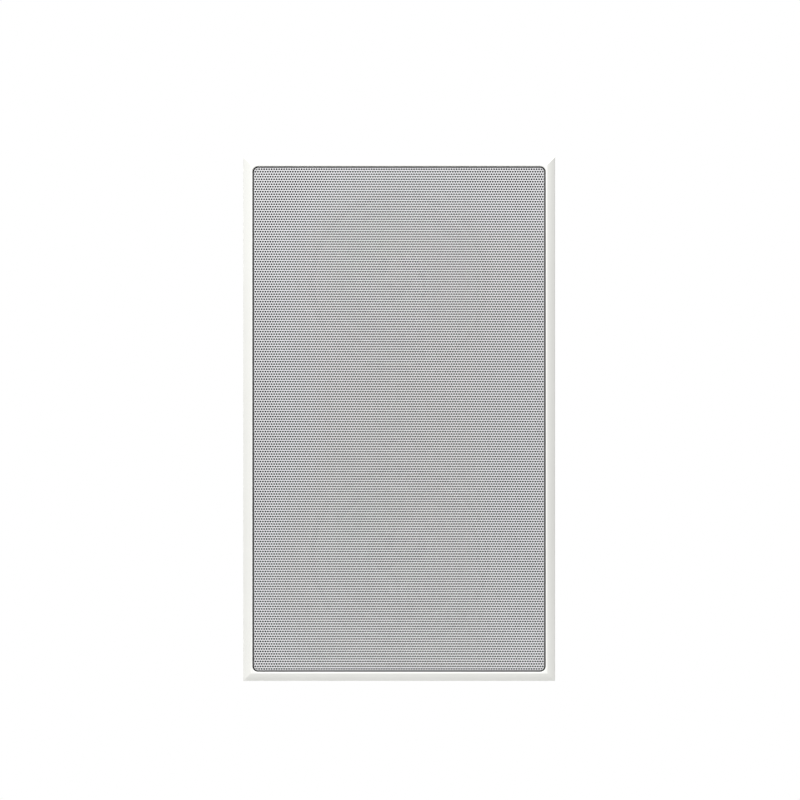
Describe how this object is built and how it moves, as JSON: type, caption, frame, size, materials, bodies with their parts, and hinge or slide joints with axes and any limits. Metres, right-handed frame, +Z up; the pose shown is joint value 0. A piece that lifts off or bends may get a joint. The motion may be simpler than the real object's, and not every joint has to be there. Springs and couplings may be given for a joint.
{
  "type": "in wall speaker",
  "caption": "Flush-mount loudspeaker: a white bezel with a perforated steel grille over two woofers and a dome tweeter, held in a wall cut-out by swing-out clamps.",
  "frame": {"origin": "middle of the wall cut-out, in the plane of the wall's face, which is the back of the flange", "axes": "+X right as seen from the room, +Y into the wall, +Z up along the speaker's height"},
  "size_m": [0.25, 0.0855, 0.42],
  "materials": {
    "white_moulding": "satin, lightly textured",
    "white_enamel": "satin powder coat on perforated steel",
    "black_moulding": "matt, finely textured",
    "black_basket": "satin paint",
    "black_foam": "matt",
    "black_rubber": "soft satin",
    "cone_paper": "pressed fibre, matt",
    "cap_skin": "semi-gloss",
    "copper_wire": "enamelled",
    "spider_cloth": "stiffened cloth",
    "zinc_steel": "zinc plated",
    "ferrite": "ground ceramic",
    "black_screw": "black zinc",
    "silk_dome": "coated cloth",
    "nickel": "plated",
    "green_board": "solder mask",
    "film_capacitor": "wrapped film",
    "ceramic": "cement",
    "red_lever": "moulded",
    "black_lever": "moulded",
    "grey_dog": "moulded nylon",
    "brass_insert": "turned"
  },
  "bodies": {
    "chassis": {"baffle": "black_moulding", "baffle_screws": "black_screw", "bezel_frame": "white_moulding", "board_screws": "zinc_steel", "crossover_board": "green_board", "crossover_bobbins": "black_moulding", "crossover_capacitors": "film_capacitor", "crossover_resistors": "ceramic", "crossover_windings": "copper_wire", "lower_woofer_basket": "black_basket", "lower_woofer_front_plate": "zinc_steel", "lower_woofer_gasket": "black_foam", "lower_woofer_magnet": "ferrite", "lower_woofer_spider": "spider_cloth", "lower_woofer_surround": "black_rubber", "lower_woofer_yoke": "zinc_steel", "terminal_block": "black_moulding", "tweeter_cup": "zinc_steel", "tweeter_faceplate": "black_moulding", "tweeter_magnet": "nickel", "tweeter_pole_plate": "zinc_steel", "tweeter_screws": "black_screw", "tweeter_surround": "black_rubber", "upper_woofer_basket": "black_basket", "upper_woofer_front_plate": "zinc_steel", "upper_woofer_gasket": "black_foam", "upper_woofer_magnet": "ferrite", "upper_woofer_spider": "spider_cloth", "upper_woofer_surround": "black_rubber", "upper_woofer_yoke": "zinc_steel", "woofer_screws": "black_screw"},
    "grille": {"grille": "white_enamel"},
    "upper_cone": {"upper_woofer_cone": "cone_paper", "upper_woofer_dust_cap": "cap_skin", "upper_woofer_voice_coil": "copper_wire"},
    "lower_cone": {"lower_woofer_cone": "cone_paper", "lower_woofer_dust_cap": "cap_skin", "lower_woofer_voice_coil": "copper_wire"},
    "tweeter_dome": {"tweeter_dome": "silk_dome", "tweeter_voice_coil": "copper_wire"},
    "red_lever": {"terminal_lever_red": "red_lever"},
    "black_lever": {"terminal_lever_black": "black_lever"},
    "clamp_screw_upper_right": {"clamp_screw_upper_right": "black_screw"},
    "clamp_insert_upper_right": {"clamp_insert_upper_right": "brass_insert"},
    "clamp_dog_upper_right": {"clamp_dog_upper_right": "grey_dog"},
    "clamp_screw_middle_right": {"clamp_screw_middle_right": "black_screw"},
    "clamp_insert_middle_right": {"clamp_insert_middle_right": "brass_insert"},
    "clamp_dog_middle_right": {"clamp_dog_middle_right": "grey_dog"},
    "clamp_screw_lower_right": {"clamp_screw_lower_right": "black_screw"},
    "clamp_insert_lower_right": {"clamp_insert_lower_right": "brass_insert"},
    "clamp_dog_lower_right": {"clamp_dog_lower_right": "grey_dog"},
    "clamp_screw_upper_left": {"clamp_screw_upper_left": "black_screw"},
    "clamp_insert_upper_left": {"clamp_insert_upper_left": "brass_insert"},
    "clamp_dog_upper_left": {"clamp_dog_upper_left": "grey_dog"},
    "clamp_screw_middle_left": {"clamp_screw_middle_left": "black_screw"},
    "clamp_insert_middle_left": {"clamp_insert_middle_left": "brass_insert"},
    "clamp_dog_middle_left": {"clamp_dog_middle_left": "grey_dog"},
    "clamp_screw_lower_left": {"clamp_screw_lower_left": "black_screw"},
    "clamp_insert_lower_left": {"clamp_insert_lower_left": "brass_insert"},
    "clamp_dog_lower_left": {"clamp_dog_lower_left": "grey_dog"}
  },
  "joints": [
    {"name": "grille_pull", "type": "slide", "parent": "chassis", "child": "grille", "axis": [0, -1, 0], "range_m": [0, 0.06]},
    {"name": "upper_cone_travel", "type": "slide", "parent": "chassis", "child": "upper_cone", "axis": [0, -1, 0], "range_m": [-0.004, 0.004], "stiffness_N_per_m": 1500, "deforming": ["upper_woofer_surround", "upper_woofer_spider"]},
    {"name": "lower_cone_travel", "type": "slide", "parent": "chassis", "child": "lower_cone", "axis": [0, -1, 0], "range_m": [-0.004, 0.004], "stiffness_N_per_m": 1500, "deforming": ["lower_woofer_surround", "lower_woofer_spider"]},
    {"name": "tweeter_dome_travel", "type": "slide", "parent": "chassis", "child": "tweeter_dome", "axis": [0, -1, 0], "range_m": [-0.0004, 0.0004], "stiffness_N_per_m": 800, "deforming": ["tweeter_surround"]},
    {"name": "red_lever_press", "type": "hinge", "parent": "chassis", "child": "red_lever", "pos_m": [0.025, 0.0471, 0.0125], "axis": [-1, 0, 0], "range_deg": [0, 25], "stiffness_Nm_per_rad": 0.1},
    {"name": "black_lever_press", "type": "hinge", "parent": "chassis", "child": "black_lever", "pos_m": [0.041, 0.0471, 0.0125], "axis": [-1, 0, 0], "range_deg": [0, 25], "stiffness_Nm_per_rad": 0.1},
    {"name": "clamp_screw_turn_upper_right", "type": "hinge", "parent": "chassis", "child": "clamp_screw_upper_right", "pos_m": [0.1, 0.009, 0.165], "axis": [0, 1, 0], "range_deg": [0, 5400]},
    {"name": "clamp_draw_upper_right", "type": "slide", "parent": "chassis", "child": "clamp_insert_upper_right", "axis": [0, -1, 0], "range_m": [0, 0.024]},
    {"name": "clamp_swing_upper_right", "type": "hinge", "parent": "clamp_insert_upper_right", "child": "clamp_dog_upper_right", "pos_m": [0.1, 0.0358, 0.165], "axis": [0, 1, 0], "range_deg": [0, 90]},
    {"name": "clamp_screw_turn_middle_right", "type": "hinge", "parent": "chassis", "child": "clamp_screw_middle_right", "pos_m": [0.1, 0.009, 0], "axis": [0, 1, 0], "range_deg": [0, 5400]},
    {"name": "clamp_draw_middle_right", "type": "slide", "parent": "chassis", "child": "clamp_insert_middle_right", "axis": [0, -1, 0], "range_m": [0, 0.024]},
    {"name": "clamp_swing_middle_right", "type": "hinge", "parent": "clamp_insert_middle_right", "child": "clamp_dog_middle_right", "pos_m": [0.1, 0.0358, 0], "axis": [0, 1, 0], "range_deg": [0, 90]},
    {"name": "clamp_screw_turn_lower_right", "type": "hinge", "parent": "chassis", "child": "clamp_screw_lower_right", "pos_m": [0.1, 0.009, -0.165], "axis": [0, 1, 0], "range_deg": [0, 5400]},
    {"name": "clamp_draw_lower_right", "type": "slide", "parent": "chassis", "child": "clamp_insert_lower_right", "axis": [0, -1, 0], "range_m": [0, 0.024]},
    {"name": "clamp_swing_lower_right", "type": "hinge", "parent": "clamp_insert_lower_right", "child": "clamp_dog_lower_right", "pos_m": [0.1, 0.0358, -0.165], "axis": [0, 1, 0], "range_deg": [0, 90]},
    {"name": "clamp_screw_turn_upper_left", "type": "hinge", "parent": "chassis", "child": "clamp_screw_upper_left", "pos_m": [-0.1, 0.009, 0.165], "axis": [0, 1, 0], "range_deg": [0, 5400]},
    {"name": "clamp_draw_upper_left", "type": "slide", "parent": "chassis", "child": "clamp_insert_upper_left", "axis": [0, -1, 0], "range_m": [0, 0.024]},
    {"name": "clamp_swing_upper_left", "type": "hinge", "parent": "clamp_insert_upper_left", "child": "clamp_dog_upper_left", "pos_m": [-0.1, 0.0358, 0.165], "axis": [0, 1, 0], "range_deg": [0, 90]},
    {"name": "clamp_screw_turn_middle_left", "type": "hinge", "parent": "chassis", "child": "clamp_screw_middle_left", "pos_m": [-0.1, 0.009, 0], "axis": [0, 1, 0], "range_deg": [0, 5400]},
    {"name": "clamp_draw_middle_left", "type": "slide", "parent": "chassis", "child": "clamp_insert_middle_left", "axis": [0, -1, 0], "range_m": [0, 0.024]},
    {"name": "clamp_swing_middle_left", "type": "hinge", "parent": "clamp_insert_middle_left", "child": "clamp_dog_middle_left", "pos_m": [-0.1, 0.0358, 0], "axis": [0, 1, 0], "range_deg": [0, 90]},
    {"name": "clamp_screw_turn_lower_left", "type": "hinge", "parent": "chassis", "child": "clamp_screw_lower_left", "pos_m": [-0.1, 0.009, -0.165], "axis": [0, 1, 0], "range_deg": [0, 5400]},
    {"name": "clamp_draw_lower_left", "type": "slide", "parent": "chassis", "child": "clamp_insert_lower_left", "axis": [0, -1, 0], "range_m": [0, 0.024]},
    {"name": "clamp_swing_lower_left", "type": "hinge", "parent": "clamp_insert_lower_left", "child": "clamp_dog_lower_left", "pos_m": [-0.1, 0.0358, -0.165], "axis": [0, 1, 0], "range_deg": [0, 90]}
  ],
  "couplings": [
    {"joint": "clamp_screw_turn_upper_right", "follows": "clamp_draw_upper_right", "rad_per_m": 3927},
    {"joint": "clamp_screw_turn_middle_right", "follows": "clamp_draw_middle_right", "rad_per_m": 3927},
    {"joint": "clamp_screw_turn_lower_right", "follows": "clamp_draw_lower_right", "rad_per_m": 3927},
    {"joint": "clamp_screw_turn_upper_left", "follows": "clamp_draw_upper_left", "rad_per_m": 3927},
    {"joint": "clamp_screw_turn_middle_left", "follows": "clamp_draw_middle_left", "rad_per_m": 3927},
    {"joint": "clamp_screw_turn_lower_left", "follows": "clamp_draw_lower_left", "rad_per_m": 3927}
  ]
}
